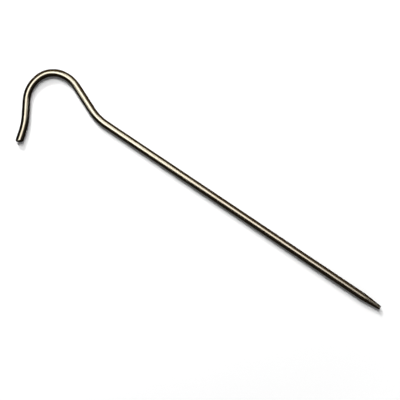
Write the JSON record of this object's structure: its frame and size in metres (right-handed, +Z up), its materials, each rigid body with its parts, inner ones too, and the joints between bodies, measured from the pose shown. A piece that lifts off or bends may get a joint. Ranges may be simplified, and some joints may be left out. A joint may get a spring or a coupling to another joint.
{
  "type": "tent stake",
  "caption": "Shepherd's-hook tent stake: a slim bare titanium rod bent into an open hook at one end and ground to a blunt point at the other.",
  "frame": {"origin": "bottom centre of the bounding box, on the surface that the stake lies on", "axes": "+X along the straight shaft towards the point; the hook is at -X, its open side faces -Y; +Z up, square to the plane of the hook"},
  "size_m": [0.165, 0.0338, 0.003],
  "materials": {
    "titanium": "bare titanium rod, warm grey, satin to bright, faint drawing lines along the rod"
  },
  "bodies": {
    "root": {"hooked_rod": "titanium"}
  },
  "joints": []
}
